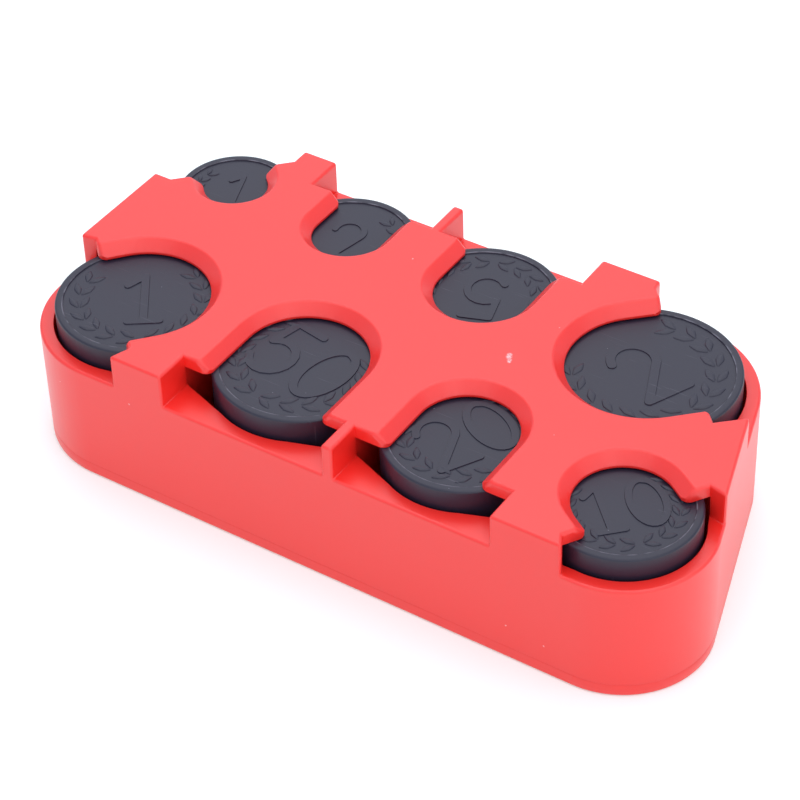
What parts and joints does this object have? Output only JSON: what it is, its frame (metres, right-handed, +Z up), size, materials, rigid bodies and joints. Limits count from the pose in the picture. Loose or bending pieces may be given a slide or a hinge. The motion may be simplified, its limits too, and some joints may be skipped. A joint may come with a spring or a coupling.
{
  "type": "coin dispenser",
  "caption": "Low housing with two rows of sprung round coin pushers under lips; coins are pressed in from above and slid out sideways.",
  "frame": {"origin": "centre of the bounding box on the table, at the base plate's underside", "axes": "+X along the two rows of coins to the right, +Y from the front row to the back row, +Z up"},
  "size_m": [0.1013, 0.051, 0.023],
  "materials": {
    "red_plastic": "glossy moulded ABS",
    "black_plastic": "satin moulded polystyrene",
    "spring_steel": "drawn spring wire"
  },
  "bodies": {
    "housing_body": {"housing": "red_plastic", "base_plate": "red_plastic", "spring_front_1": "spring_steel", "spring_front_2": "spring_steel", "spring_front_3": "spring_steel", "spring_front_4": "spring_steel", "spring_back_1": "spring_steel", "spring_back_2": "spring_steel", "spring_back_3": "spring_steel", "spring_back_4": "spring_steel"},
    "front_1_pusher": {"pusher_front_1": "black_plastic"},
    "front_2_pusher": {"pusher_front_2": "black_plastic"},
    "front_3_pusher": {"pusher_front_3": "black_plastic"},
    "front_4_pusher": {"pusher_front_4": "black_plastic"},
    "back_1_pusher": {"pusher_back_1": "black_plastic"},
    "back_2_pusher": {"pusher_back_2": "black_plastic"},
    "back_3_pusher": {"pusher_back_3": "black_plastic"},
    "back_4_pusher": {"pusher_back_4": "black_plastic"}
  },
  "joints": [
    {"name": "front_1_press", "type": "slide", "parent": "housing_body", "child": "front_1_pusher", "axis": [0, 0, 1], "range_m": [-0.01165, 0], "stiffness_N_per_m": 140, "springref_m": 0.006, "deforming": ["spring_front_1"]},
    {"name": "front_2_press", "type": "slide", "parent": "housing_body", "child": "front_2_pusher", "axis": [0, 0, 1], "range_m": [-0.01165, 0], "stiffness_N_per_m": 140, "springref_m": 0.006, "deforming": ["spring_front_2"]},
    {"name": "front_3_press", "type": "slide", "parent": "housing_body", "child": "front_3_pusher", "axis": [0, 0, 1], "range_m": [-0.01165, 0], "stiffness_N_per_m": 140, "springref_m": 0.006, "deforming": ["spring_front_3"]},
    {"name": "front_4_press", "type": "slide", "parent": "housing_body", "child": "front_4_pusher", "axis": [0, 0, 1], "range_m": [-0.01165, 0], "stiffness_N_per_m": 140, "springref_m": 0.006, "deforming": ["spring_front_4"]},
    {"name": "back_1_press", "type": "slide", "parent": "housing_body", "child": "back_1_pusher", "axis": [0, 0, 1], "range_m": [-0.01165, 0], "stiffness_N_per_m": 140, "springref_m": 0.006, "deforming": ["spring_back_1"]},
    {"name": "back_2_press", "type": "slide", "parent": "housing_body", "child": "back_2_pusher", "axis": [0, 0, 1], "range_m": [-0.01165, 0], "stiffness_N_per_m": 140, "springref_m": 0.006, "deforming": ["spring_back_2"]},
    {"name": "back_3_press", "type": "slide", "parent": "housing_body", "child": "back_3_pusher", "axis": [0, 0, 1], "range_m": [-0.01165, 0], "stiffness_N_per_m": 140, "springref_m": 0.006, "deforming": ["spring_back_3"]},
    {"name": "back_4_press", "type": "slide", "parent": "housing_body", "child": "back_4_pusher", "axis": [0, 0, 1], "range_m": [-0.01165, 0], "stiffness_N_per_m": 140, "springref_m": 0.006, "deforming": ["spring_back_4"]}
  ]
}
